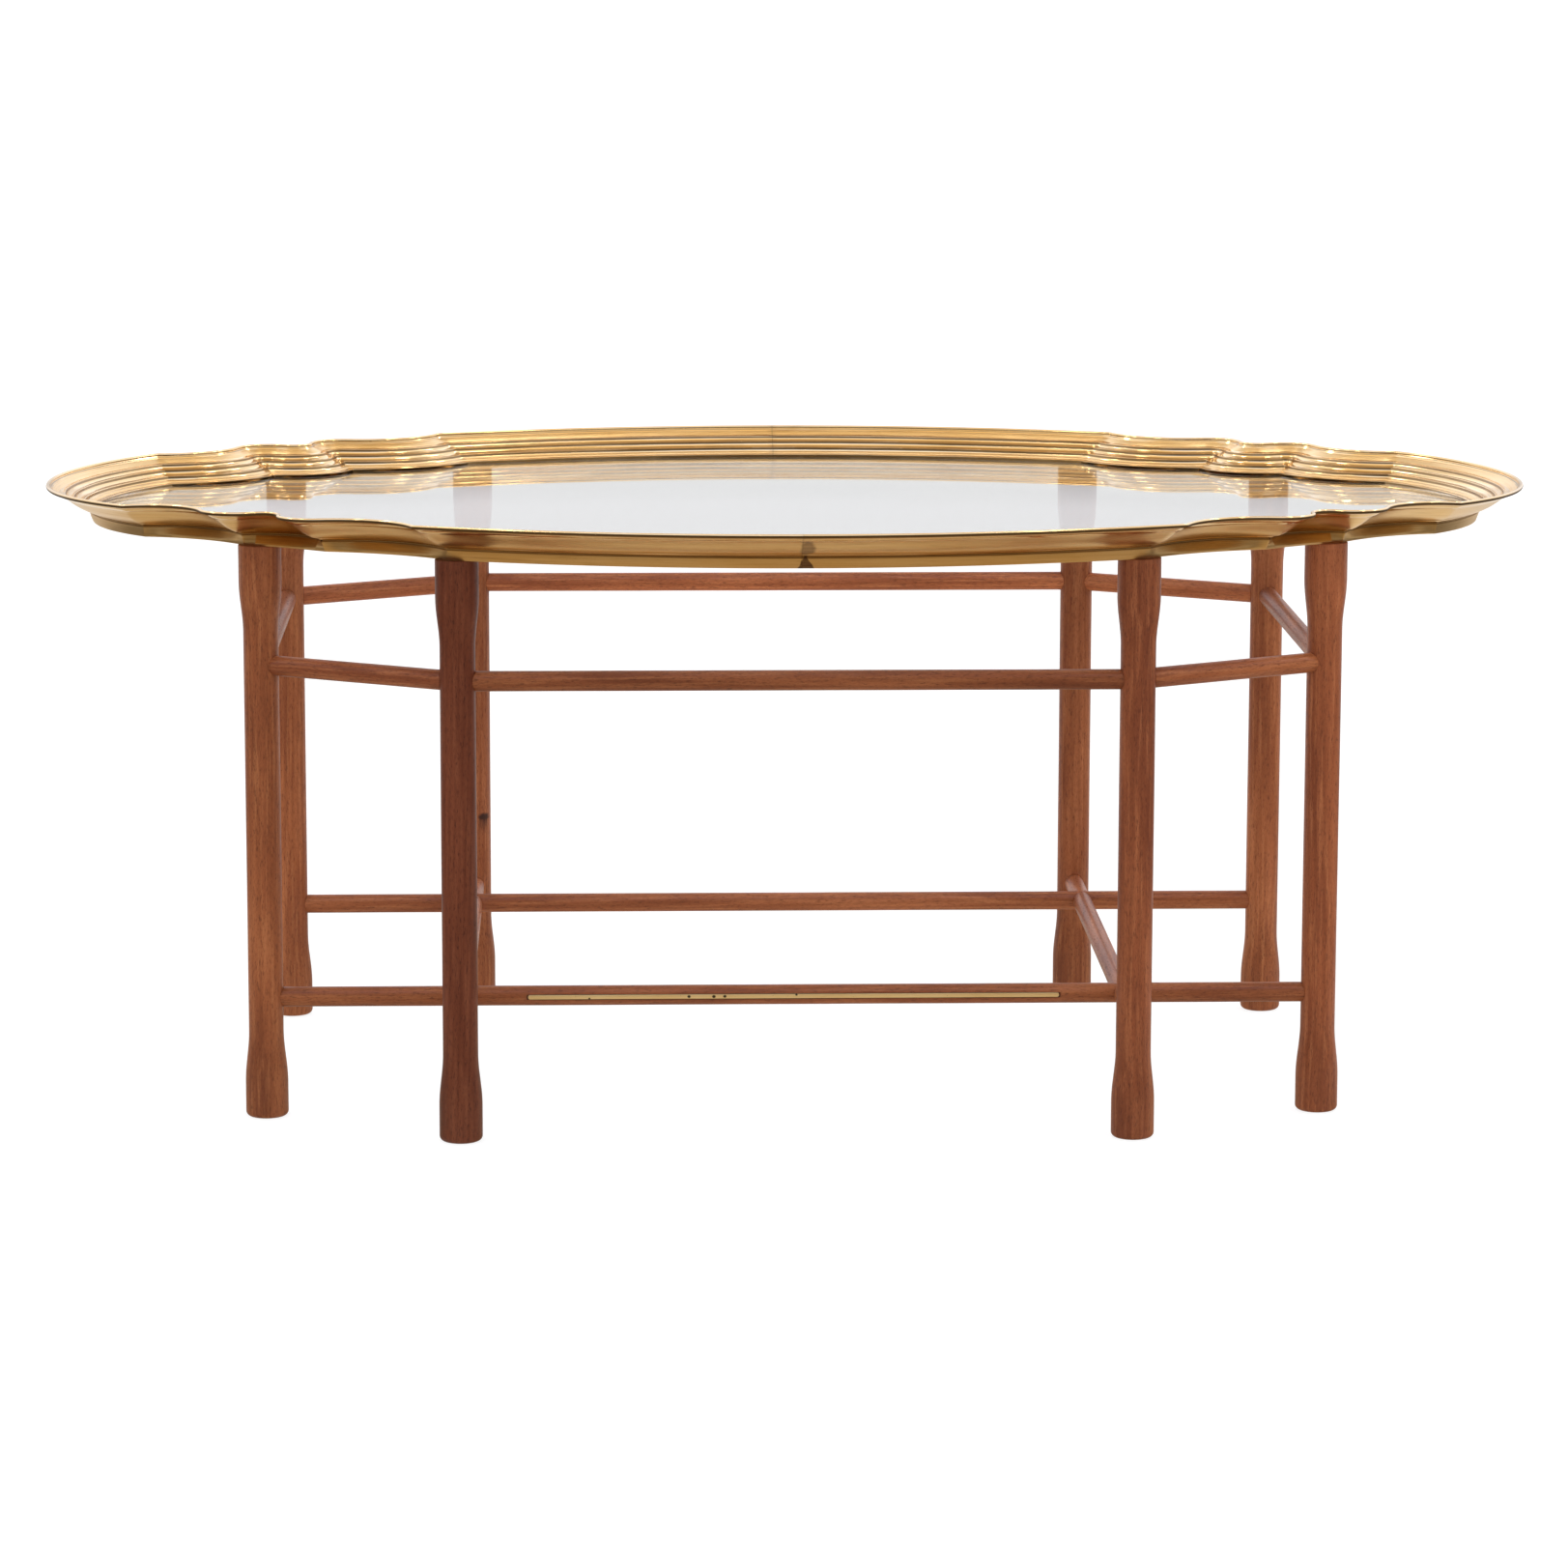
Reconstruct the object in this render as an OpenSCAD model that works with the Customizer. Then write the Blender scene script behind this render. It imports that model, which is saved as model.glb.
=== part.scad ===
// Tray-top coffee table: a scalloped brass tray frame with a loose glass
// panel, lying loose on an eight-legged mahogany stand.
// +X runs along the length, +Y to the back, +Z up, floor at z = 0.

/* [Stand] */
// Height of the legs, floor to tray
leg_h = 442.6; // [380:0.2:520]
// Radius of the slim middle of a leg
leg_r = 13.3; // [11:0.1:15]
// Radius of the swelled foot and top of a leg
leg_foot_r = 16.3; // [15.5:0.1:19]
// Height of the full-width foot before it narrows
foot_h = 27; // [15:1:35]
// Height at which the leg has become slim
foot_end = 67; // [45:1:75]
// Depth of the swelled top of a leg
head_h = 28; // [15:1:40]
// Depth of the whole upper swell
head_end = 67; // [50:1:80]
// Half distance between the inner legs along X
inner_x = 254; // [230:1:270]
// Half distance between the inner legs along Y
inner_y = 271.8; // [265:0.2:280]
// Half distance between the outer legs along X
outer_x = 404.9; // [395:0.1:410]
// Half distance between the outer legs along Y
outer_y = 185.2; // [178:0.1:190]

/* [Stretchers] */
// Radius of the dowel stretchers
rail_r = 7.65; // [6:0.05:9]
// Height of the upper ring of stretchers
ring_z = 350.5; // [300:0.5:360]
// Height of the lower frame of stretchers
low_z = 92.8; // [84:0.2:140]
// Radius of the round tenons in the legs
tenon_r = 5; // [4:0.1:5.5]
// Radius of the small tenons in the lower rails
pin_r = 3; // [2:0.1:3.5]

/* [Brass inlay] */
// Length of the inlaid strip
inlay_len = 408; // [200:1:460]
// Width of the inlaid strip
inlay_w = 3.5; // [2:0.1:5]
// Thickness of the inlaid strip at its middle
inlay_t = 1.5; // [1:0.1:2]
// Gap round the strip in its groove
inlay_gap = 0.25; // [0.1:0.05:0.4]

/* [Tray outline] */
// Half length of the tray over the lip
tray_a = 582; // [578:1:586]
// Half width of the tray over the lip
tray_b = 368; // [364:1:372]
// Radius of the long front and back arcs
side_r = 733; // [725:1:740]
// Radius of the two end arcs
end_r = 242; // [238:1:248]
// X of the cusp at the end of a long arc
cusp_x = 286; // [283:1:289]
// X of the cusp at the end of an end arc
cusp2_x = 509; // [507:1:511]
// Radius of the cove next to the long arc
cove_r = 62; // [56:1:66]
// Radius of the two rounded lobes
lobe_r = 28; // [25:0.5:30]
// Radius of the notch between the lobes
notch_r = 12; // [10:0.5:14]
// Radius of the cove next to the end arc
cove2_r = 50; // [46:1:54]

/* [Tray section] */
// How far the foot of the rim runs straight across a cove
foot_cove = 0.5; // [0:0.05:0.8]
// How far the foot of the rim runs straight across the notch
foot_notch = 0.85; // [0:0.05:0.9]
// Sag of the two tips of the rim, beyond the outer legs
tip_sag = 3; // [0:0.1:3.5]
// Height of the lip above the underside of the tray
tray_h = 29.6; // [28:0.1:32]
// Width of the ledge under the glass
ledge_w = 12; // [8:0.5:16]
// Thickness of the ledge
ledge_t = 1.4; // [1:0.1:1.6]
// Thickness of the glass panel
glass_t = 5; // [4:0.1:6]

/* [Hidden] */
$fn = 64;
wood = [0.44, 0.25, 0.19];
brass = [0.78, 0.60, 0.33];
glass_c = [0.86, 0.90, 0.90, 0.5];
fitgap = 0.05;          // glue gap of a tenon and of a coped shoulder
tenon_in = 4.3;         // where a tenon stops, measured from the leg's axis
section_in = 37.8;      // inset of the wall round the glass
glass_in = 38.4;        // inset of the glass edge
z0 = leg_h;             // underside of the tray

// ---------- legs ----------
function ease(t) = (1 - cos(180 * t)) / 2;
leg_n = 8;
leg_side = concat(
    [[0, 0], [leg_foot_r - 4, 0]],
    [for (i = [1:4]) [leg_foot_r - 4 + 4 * sin(i * 22.5), 4 - 4 * cos(i * 22.5)]],
    [for (i = [0:leg_n]) [leg_foot_r + (leg_r - leg_foot_r) * ease(i / leg_n),
                          foot_h + (foot_end - foot_h) * i / leg_n]],
    [for (i = [0:leg_n]) [leg_r + (leg_foot_r - leg_r) * ease(i / leg_n),
                          leg_h - head_end + (head_end - head_h) * i / leg_n]],
    [[leg_foot_r, leg_h - 0.8], [leg_foot_r - 0.8, leg_h], [0, leg_h]]);

// One leg at p with a blind socket for each [direction, height]
module leg(p, sockets) {
    translate([p[0], p[1], 0]) difference() {
        rotate_extrude() polygon(leg_side);
        for (s = sockets)
            translate([0, 0, s[1]]) rotate([0, 90, s[0]])
                translate([0, 0, tenon_in - fitgap]) cylinder(h = leg_foot_r * 2, r = tenon_r);
    }
}
diag = atan2(inner_y - outer_y, outer_x - inner_x);

module leg_front_inner_left() color(wood)
    leg([-inner_x, -inner_y], [[0, ring_z], [180 - diag, ring_z], [90, low_z]]);
module leg_front_inner_right() color(wood)
    leg([inner_x, -inner_y], [[180, ring_z], [diag, ring_z], [90, low_z]]);
module leg_back_inner_left() color(wood)
    leg([-inner_x, inner_y], [[0, ring_z], [180 + diag, ring_z], [-90, low_z]]);
module leg_back_inner_right() color(wood)
    leg([inner_x, inner_y], [[180, ring_z], [-diag, ring_z], [-90, low_z]]);
module leg_front_outer_left() color(wood)
    leg([-outer_x, -outer_y], [[90, ring_z], [-diag, ring_z], [0, low_z]]);
module leg_front_outer_right() color(wood)
    leg([outer_x, -outer_y], [[90, ring_z], [180 + diag, ring_z], [180, low_z]]);
module leg_back_outer_left() color(wood)
    leg([-outer_x, outer_y], [[-90, ring_z], [diag, ring_z], [0, low_z]]);
module leg_back_outer_right() color(wood)
    leg([outer_x, outer_y], [[-90, ring_z], [180 - diag, ring_z], [180, low_z]]);

// ---------- stretchers ----------
// A dowel from leg axis p to leg axis q: coped round both legs, tenoned into them
module leg_rail(p, q, z) {
    v = q - p;
    l = norm(v);
    translate([p[0], p[1], z]) rotate([0, 0, atan2(v[1], v[0])]) {
        difference() {
            rotate([0, 90, 0]) cylinder(h = l, r = rail_r);
            translate([0, 0, -20]) cylinder(h = 40, r = leg_r + fitgap);
            translate([l, 0, -20]) cylinder(h = 40, r = leg_r + fitgap);
        }
        translate([tenon_in, 0, 0]) rotate([0, 90, 0])
            cylinder(h = leg_r + 3, r = tenon_r - fitgap);
        translate([l - tenon_in, 0, 0]) rotate([0, -90, 0])
            cylinder(h = leg_r + 3, r = tenon_r - fitgap);
    }
}
module ring_rail_front() color(wood) leg_rail([-inner_x, -inner_y], [inner_x, -inner_y], ring_z);
module ring_rail_back() color(wood) leg_rail([-inner_x, inner_y], [inner_x, inner_y], ring_z);
module ring_rail_end_left() color(wood) leg_rail([-outer_x, -outer_y], [-outer_x, outer_y], ring_z);
module ring_rail_end_right() color(wood) leg_rail([outer_x, -outer_y], [outer_x, outer_y], ring_z);
module ring_rail_diagonal_front_left() color(wood) leg_rail([-inner_x, -inner_y], [-outer_x, -outer_y], ring_z);
module ring_rail_diagonal_front_right() color(wood) leg_rail([inner_x, -inner_y], [outer_x, -outer_y], ring_z);
module ring_rail_diagonal_back_left() color(wood) leg_rail([-inner_x, inner_y], [-outer_x, outer_y], ring_z);
module ring_rail_diagonal_back_right() color(wood) leg_rail([inner_x, inner_y], [outer_x, outer_y], ring_z);

// A whole lower rail, drilled through where the cross rails meet it
module long_rail(y) difference() {
    leg_rail([-outer_x, y], [outer_x, y], low_z);
    for (x = [-inner_x, inner_x])
        translate([x, y - 20, low_z]) rotate([-90, 0, 0]) cylinder(h = 40, r = pin_r);
}
module inlay_shape(w, l) translate([0, -outer_y - rail_r - 2, low_z]) rotate([-90, 0, 0])
    linear_extrude(height = 2 + inlay_t) {
        translate([-(l - w) / 2, -w / 2]) square([l - w, w]);
        for (s = [-1, 1]) translate([s * (l - w) / 2, 0]) circle(r = w / 2, $fn = 24);
    }
module long_rail_front() color(wood) difference() {
    long_rail(-outer_y);
    inlay_shape(inlay_w + 2 * inlay_gap, inlay_len + 2 * inlay_gap);
}
module long_rail_back() color(wood) long_rail(outer_y);

// Cross rail between the two long rails, coped and pinned into both
module cross_rail(x) translate([x, 0, low_z]) {
    difference() {
        translate([0, -outer_y, 0]) rotate([-90, 0, 0]) cylinder(h = 2 * outer_y, r = rail_r);
        for (s = [-1, 1]) translate([-20, s * outer_y, 0]) rotate([0, 90, 0])
            cylinder(h = 40, r = rail_r + fitgap);
    }
    for (s = [-1, 1]) translate([0, s * (outer_y - 0.3), 0]) rotate([s * 90, 0, 0])
        cylinder(h = rail_r + 3, r = pin_r - fitgap);
}
module cross_rail_left() color(wood) cross_rail(-inner_x);
module cross_rail_right() color(wood) cross_rail(inner_x);

// Stub between a long rail and an inner leg, s = -1 front, 1 back
module stub_rail(x, s) translate([x, 0, low_z]) {
    difference() {
        translate([0, s * outer_y, 0]) rotate([s * -90, 0, 0]) cylinder(h = inner_y - outer_y, r = rail_r);
        translate([-20, s * outer_y, 0]) rotate([0, 90, 0]) cylinder(h = 40, r = rail_r + fitgap);
        translate([0, s * inner_y, -20]) cylinder(h = 40, r = leg_r + fitgap);
    }
    translate([0, s * (outer_y + 0.3), 0]) rotate([s * -90, 0, 0])
        cylinder(h = rail_r + 3, r = pin_r - fitgap);
    translate([0, s * (inner_y - tenon_in), 0]) rotate([s * 90, 0, 0])
        cylinder(h = leg_r + 3, r = tenon_r - fitgap);
}
module stub_rail_front_left() color(wood) stub_rail(-inner_x, -1);
module stub_rail_front_right() color(wood) stub_rail(inner_x, -1);
module stub_rail_back_left() color(wood) stub_rail(-inner_x, 1);
module stub_rail_back_right() color(wood) stub_rail(inner_x, 1);

// Strip let into the front of the front long rail, flush with its round face
module brass_inlay() color(brass) intersection() {
    inlay_shape(inlay_w, inlay_len);
    translate([-inlay_len, -outer_y, low_z]) rotate([0, 90, 0]) cylinder(h = 2 * inlay_len, r = rail_r);
}

// ---------- tray outline ----------
// One quarter is a chain of arcs: long arc, cusp, cove, lobe, notch, lobe,
// cove, cusp, end arc. An inset d moves every arc inward by d; a lobe that
// the inset uses up becomes a mitre, and the cusps stay mitres.
function cc(c1, r1, c2, r2, s) =
    let (v = c2 - c1, D = norm(v), a = (D * D + r1 * r1 - r2 * r2) / (2 * D),
         h = sqrt(max(0, r1 * r1 - a * a)), e = v / D)
    c1 + a * e + s * h * [-e[1], e[0]];
function far(p, q) = p[0] + p[1] > q[0] + q[1] ? p : q;
function near(p, q) = p[0] + p[1] > q[0] + q[1] ? q : p;
function west(p, q) = p[0] < q[0] ? p : q;
function east(p, q) = p[0] > q[0] ? p : q;
function toward(c, r, q) = c + r * (q - c) / norm(q - c);
function arc(c, r, p, q, n) =
    let (a = atan2(p[1] - c[1], p[0] - c[0]), b = atan2(q[1] - c[1], q[0] - c[0]),
         t = ((b - a + 540) % 360) - 180)
    [for (i = [0:n - 1]) c + r * [cos(a + t * i / n), sin(a + t * i / n)]];

lobe_a = [361, 241];    // centre of the lobe next to the long side
lobe_b = [421, 203.5];  // centre of the lobe next to the end
side_c = [0, tray_b - side_r];
end_c = [tray_a - end_r, 0];
cusp = [cusp_x, side_c[1] + sqrt(side_r * side_r - cusp_x * cusp_x)];
cusp2 = [cusp2_x, sqrt(end_r * end_r - pow(cusp2_x - end_c[0], 2))];
k1 = far(cc(cusp, cove_r, lobe_a, cove_r + lobe_r, 1), cc(cusp, cove_r, lobe_a, cove_r + lobe_r, -1));
kn = far(cc(lobe_a, lobe_r + notch_r, lobe_b, lobe_r + notch_r, 1),
         cc(lobe_a, lobe_r + notch_r, lobe_b, lobe_r + notch_r, -1));
k2 = far(cc(cusp2, cove2_r, lobe_b, cove2_r + lobe_r, 1), cc(cusp2, cove2_r, lobe_b, cove2_r + lobe_r, -1));

// Points of an arc from its start to q, moved a share k towards the chord
function flatter(a, q, k) = let (n = len(a)) [for (i = [0:n - 1]) a[i] * (1 - k) + (a[0] + (q - a[0]) * i / n) * k];

n_side = 10; n_cove = 5; n_lobe = 6; n_notch = 4; n_end = 8;
// k is 0 for the true offset and 1 at the foot, where the coves flatten
function quarter(d, k = 0) =
    let (m = max(lobe_r - d, 1.5),
         a = near(cc(k1, cove_r + d + m, kn, notch_r + d + m, 1), cc(k1, cove_r + d + m, kn, notch_r + d + m, -1)),
         b = near(cc(kn, notch_r + d + m, k2, cove2_r + d + m, 1), cc(kn, notch_r + d + m, k2, cove2_r + d + m, -1)),
         p = west(cc(side_c, side_r - d, k1, cove_r + d, 1), cc(side_c, side_r - d, k1, cove_r + d, -1)),
         q = east(cc(end_c, end_r - d, k2, cove2_r + d, 1), cc(end_c, end_r - d, k2, cove2_r + d, -1)),
         a1 = toward(a, m, k1), a2 = toward(a, m, kn), b1 = toward(b, m, kn), b2 = toward(b, m, k2))
    concat(arc(side_c, side_r - d, [0, side_c[1] + side_r - d], p, n_side),
           flatter(arc(k1, cove_r + d, p, a1, n_cove), a1, k * foot_cove), arc(a, m, a1, a2, n_lobe),
           flatter(arc(kn, notch_r + d, a2, b1, n_notch), b1, k * foot_notch), arc(b, m, b1, b2, n_lobe),
           flatter(arc(k2, cove2_r + d, b2, q, n_cove), q, k * foot_cove),
           arc(end_c, end_r - d, q, [end_c[0] + end_r - d, 0], n_end), [[end_c[0] + end_r - d, 0]]);
// Right half, from the back middle round the end to the front middle
function half(d, k = 0) = let (q = quarter(d, k), n = len(q))
    concat(q, [for (i = [n - 2:-1:0]) [q[i][0], -q[i][1]]]);
function loop(d, k = 0) = let (h = half(d, k), n = len(h))
    concat(h, [for (i = [n - 2:-1:1]) [-h[i][0], h[i][1]]]);

// ---------- tray rim ----------
// Section of the moulding as [inset from the lip, height over the underside,
// share of the foot's flattening]
function section(k) = let (s = tray_h / 29.6) [for (p = [
    [36, 0, 1], [35.6, 1.8, 1], [34.4, 3.9, 0.62], [33, 7.6], [29, 10], [22, 14], [16, 18], [8, 24],
    [1, 27.2], [0, 28], [0.5, 29.1], [1.6, 29.6], [2.8, 29.2],
    [5, 26.6], [8.6, 24], [12.4, 22.6], [14.8, 21.9],
    [16, 20.2], [18.2, 18.8], [21.4, 17.9],
    [22.6, 16], [25.2, 14.4], [29, 13.5],
    [30.2, 11.6], [32.6, 9.9], [section_in, 8.2],
    [section_in, 1.8, 1], [section_in, 0, 1]]) [p[0], p[1] * s + k, len(p) > 2 ? p[2] : 0]];

// The rim hangs free past the outer legs and its tips sag a little
sag_from = outer_x + 30;
function sag(x) = x <= sag_from ? 0 : tip_sag * pow((x - sag_from) / (tray_a - sag_from), 1.6);

module rim_half() {
    sec = section(z0);
    rings = [for (s = sec) half(s[0], s[2])];
    ns = len(rings[0]);
    nk = len(sec);
    pts = [for (i = [0:ns - 1]) for (k = [0:nk - 1]) let (p = rings[k][i]) [p[0], p[1], sec[k][1] - sag(p[0])]];
    faces = concat(
        [for (i = [0:ns - 2]) for (k = [0:nk - 1]) let (l = (k + 1) % nk)
            each [[i * nk + k, i * nk + l, (i + 1) * nk + l], [i * nk + k, (i + 1) * nk + l, (i + 1) * nk + k]]],
        [[for (k = [nk - 1:-1:0]) k]],
        [[for (k = [0:nk - 1]) (ns - 1) * nk + k]]);
    polyhedron(points = pts, faces = faces, convexity = 10);
}
module tray_rim_right() color(brass) rim_half();
module tray_rim_left() color(brass) mirror([1, 0, 0]) rim_half();

// Flat ledge brazed inside the foot of the rim; the glass lies on it
module tray_ledge() color(brass) translate([0, 0, z0]) difference() {
    linear_extrude(height = ledge_t) polygon(loop(section_in, 1));
    translate([0, 0, -1]) linear_extrude(height = ledge_t + 2) polygon(loop(section_in + ledge_w));
}

module glass_panel() color(glass_c) translate([0, 0, z0 + ledge_t])
    linear_extrude(height = glass_t) polygon(loop(glass_in));

leg_front_inner_left();
leg_front_inner_right();
leg_front_outer_left();
leg_front_outer_right();
leg_back_inner_left();
leg_back_inner_right();
leg_back_outer_left();
leg_back_outer_right();
ring_rail_front();
ring_rail_back();
ring_rail_end_left();
ring_rail_end_right();
ring_rail_diagonal_front_left();
ring_rail_diagonal_front_right();
ring_rail_diagonal_back_left();
ring_rail_diagonal_back_right();
long_rail_front();
long_rail_back();
cross_rail_left();
cross_rail_right();
stub_rail_front_left();
stub_rail_front_right();
stub_rail_back_left();
stub_rail_back_right();
brass_inlay();
tray_rim_left();
tray_rim_right();
tray_ledge();
glass_panel();
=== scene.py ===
import math
import bpy
import bmesh
import numpy as np
from mathutils import Matrix, Vector, noise


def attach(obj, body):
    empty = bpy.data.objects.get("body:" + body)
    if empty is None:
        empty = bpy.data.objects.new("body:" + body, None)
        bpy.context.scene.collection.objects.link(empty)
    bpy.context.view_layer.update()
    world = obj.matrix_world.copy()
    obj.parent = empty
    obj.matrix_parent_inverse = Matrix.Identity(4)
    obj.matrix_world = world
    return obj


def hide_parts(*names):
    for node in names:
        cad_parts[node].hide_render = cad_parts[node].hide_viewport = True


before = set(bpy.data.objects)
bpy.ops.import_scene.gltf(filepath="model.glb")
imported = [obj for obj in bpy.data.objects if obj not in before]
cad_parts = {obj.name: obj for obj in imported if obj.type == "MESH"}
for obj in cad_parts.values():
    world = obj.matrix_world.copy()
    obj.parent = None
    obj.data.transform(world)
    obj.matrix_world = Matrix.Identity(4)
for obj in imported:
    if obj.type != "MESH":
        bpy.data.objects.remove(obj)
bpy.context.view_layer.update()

MM = 0.001

# ------------------------------------------------------------------ numbers
LEG_H, LEG_R, FOOT_R = 442.6, 13.3, 16.3
IX, IY, OX, OY = 254.0, 271.8, 404.9, 185.2
RAIL_R, RING_Z, LOW_Z = 7.65, 350.5, 92.8
Z0 = 442.6


def rnd(seed):
    """A fixed pseudo-random triple from a whole number."""
    r = np.random.RandomState(seed)
    return r.uniform(-1, 1, 3)


# ------------------------------------------------------------------ mesh help
def build(name, verts, faces, sharp_deg=None, grain=None, attrs=None):
    """A mesh object from millimetre points; grain is a per-point vector in metres for the textures."""
    me = bpy.data.meshes.new(name)
    me.from_pydata([tuple(c * MM for c in v) for v in verts], [], faces)
    me.validate()
    ob = bpy.data.objects.new(name, me)
    bpy.context.scene.collection.objects.link(ob)
    if grain is not None:
        at = me.attributes.new("grain", "FLOAT_VECTOR", "POINT")
        at.data.foreach_set("vector", np.asarray(grain, np.float32).ravel())
    for k, vals in (attrs or {}).items():
        at = me.attributes.new(k, "FLOAT", "POINT")
        at.data.foreach_set("value", np.asarray(vals, np.float32))
    bm = bmesh.new()
    bm.from_mesh(me)
    bmesh.ops.recalc_face_normals(bm, faces=bm.faces)
    for f in bm.faces:
        f.smooth = True
    if sharp_deg:
        lim = math.radians(sharp_deg)
        for e in bm.edges:
            if len(e.link_faces) == 2 and e.calc_face_angle(0) > lim:
                e.smooth = False
    bm.to_mesh(me)
    bm.free()
    return ob


def ease(t):
    return (1 - math.cos(math.pi * t)) / 2


# ------------------------------------------------------------------ legs
def leg_radius(z):
    if z < 27:
        return FOOT_R
    if z < 67:
        return FOOT_R + (LEG_R - FOOT_R) * ease((z - 27) / 40)
    if z < LEG_H - 67:
        return LEG_R
    if z < LEG_H - 28:
        return LEG_R + (FOOT_R - LEG_R) * ease((z - (LEG_H - 67)) / 39)
    return FOOT_R


def leg(name, x, y, seed, painted_light_level=1.0, stain=None, red=0.0):
    seg = 96
    prof = [(0.0, 0.0), (6.0, 0.0), (FOOT_R - 4.4, 0.0)]
    for i in range(1, 9):
        a = math.radians(90 * i / 8)
        prof.append((FOOT_R - 4 + 4 * math.sin(a), 4 - 4 * math.cos(a)))
    z = 7.0
    while z < LEG_H - 6:
        prof.append((leg_radius(z), z))
        z += 3.2 if (z < 75 or z > LEG_H - 75) else 1.0 if stain and abs(z - stain[0]) < 14 else 12.0
    for i in range(0, 6):
        a = math.radians(90 * i / 5)
        prof.append((FOOT_R - 0.9 + 0.9 * math.cos(a), LEG_H - 0.9 + 0.9 * math.sin(a)))
    prof += [(8.0, LEG_H), (0.0, LEG_H)]
    verts, grain, painted_light_levels, marks = [], [], [], []
    o = rnd(seed)
    turn = o[2] * math.pi
    ct, st = math.cos(turn), math.sin(turn)
    rings = []
    for r, z in prof:
        n = 1 if r == 0 else seg
        ring = []
        for k in range(n):
            a = 2 * math.pi * k / seg
            w = 0.10 * noise.noise(Vector((x * 0.1 + math.cos(a), y * 0.1 + math.sin(a), z * 0.012 + seed)))
            rr = r + (w if r > LEG_R - 0.5 and 6 < z < LEG_H - 4 else 0)
            px, py = rr * math.cos(a), rr * math.sin(a)
            ring.append(len(verts))
            verts.append((x + px, y + py, z))
            grain.append(((px * ct - py * st) * MM + 0.031 * o[0], (px * st + py * ct) * MM + 0.02 + 0.012 * o[1], z * MM + 3.1 * seed))
            # painted light: each point carries its piece's brightness factor, which stands in for how brightly that
            # piece is lit, made darker towards the foot
            t = min(1.0, max(0.0, (z - 30) / 80))
            painted_light_levels.append(painted_light_level * (0.82 + 0.18 * t * t * (3 - 2 * t)))
            mk = 0.0
            if stain:
                da = (a - stain[1] + math.pi) % (2 * math.pi) - math.pi
                q = math.hypot((z - stain[0]) / stain[2], da / stain[3]) + 0.35 * noise.noise(Vector((z * 0.4, da * 6, 1.7)))
                mk = max(0.0, min(1.0, (1.25 - q) / 0.5))
            marks.append(mk)
        rings.append(ring)
    faces = []
    for a, b in zip(rings, rings[1:]):
        if len(a) == 1:
            faces += [(a[0], b[(k + 1) % seg], b[k]) for k in range(seg)]
        elif len(b) == 1:
            faces += [(a[k], a[(k + 1) % seg], b[0]) for k in range(seg)]
        else:
            faces += [(a[k], a[(k + 1) % seg], b[(k + 1) % seg], b[k]) for k in range(seg)]
    return build(name, verts, faces, 40, grain, {"painted_light_level": painted_light_levels, "mark": marks, "red": [red] * len(verts)})


# ------------------------------------------------------------------ dowels
def dowel(name, p, q, z, end_a, end_b, seed, painted_light_level=1.0, seg=72):
    """Dowel along p to q at height z. end_* is ("leg", radius) for a cope round an upright of that radius, or ("rail", radius) for a cope round a level rail."""
    p, q = Vector(p), Vector(q)
    v = q - p
    L = v.length
    e = v / L
    n = Vector((-e.y, e.x))
    o = rnd(seed)
    r = RAIL_R

    def inset(kind, rad, rr, a):
        s = rr * math.cos(a) if kind == "leg" else rr * math.sin(a)
        return math.sqrt(max(rad * rad - s * s, 0.0))

    stations = []      # (mode, value, radius)
    for d, rr in ((0.0, r - 2.2), (0.0, r - 0.3), (0.12, r - 0.10), (0.4, r)):
        stations.append(("a", d + 0.06, rr))
    m = max(8, int(L / 10))
    for i in range(1, m):
        stations.append(("m", i / m, r))
    for d, rr in ((0.4, r), (0.12, r - 0.10), (0.0, r - 0.3), (0.0, r - 2.2)):
        stations.append(("b", d + 0.06, rr))
    verts, grain, rings = [], [], []
    for mode, val, rr in stations:
        ring = []
        for k in range(seg):
            a = 2 * math.pi * k / seg
            ca, sa = math.cos(a), math.sin(a)
            xa = inset(end_a[0], end_a[1], rr, a)
            xb = L - inset(end_b[0], end_b[1], rr, a)
            t = xa + val if mode == "a" else xb - val if mode == "b" else xa + 2 + (xb - xa - 4) * val
            w = 0.06 * noise.noise(Vector((ca + seed, sa, t * 0.02))) if mode == "m" else 0
            cx, cy = p.x + e.x * t + n.x * (rr + w) * ca, p.y + e.y * t + n.y * (rr + w) * ca
            ring.append(len(verts))
            verts.append((cx, cy, z + (rr + w) * sa))
            grain.append(((rr * ca) * MM + 0.024 * o[0], rr * sa * MM + 0.017 + 0.01 * o[1], t * MM + 3.1 * seed))
        rings.append(ring)
    faces = []
    for a, b in zip(rings, rings[1:]):
        faces += [(a[k], a[(k + 1) % seg], b[(k + 1) % seg], b[k]) for k in range(seg)]
    for ring in (rings[0], rings[-1]):
        c = len(verts)
        verts.append(tuple(np.mean([verts[i] for i in ring], axis=0)))
        grain.append(tuple(np.mean([grain[i] for i in ring], axis=0)))
        faces += [(ring[k], ring[(k + 1) % seg], c) for k in range(seg)]
    # painted light: the whole dowel carries one brightness factor standing in for how brightly it is lit
    return build(name, verts, faces, 50, grain, {"painted_light_level": [painted_light_level] * len(verts), "mark": [0.0] * len(verts)})


# ------------------------------------------------------------------ tray outline
def V2(x, y):
    return np.array([x, y], float)


def cc(c1, r1, c2, r2, s):
    v = c2 - c1
    D = math.hypot(*v)
    a = (D * D + r1 * r1 - r2 * r2) / (2 * D)
    h = math.sqrt(max(0, r1 * r1 - a * a))
    e = v / D
    return c1 + a * e + s * h * V2(-e[1], e[0])


def pick(f, *args):
    a, b = cc(*args, 1), cc(*args, -1)
    return a if f(a) > f(b) else b


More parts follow.
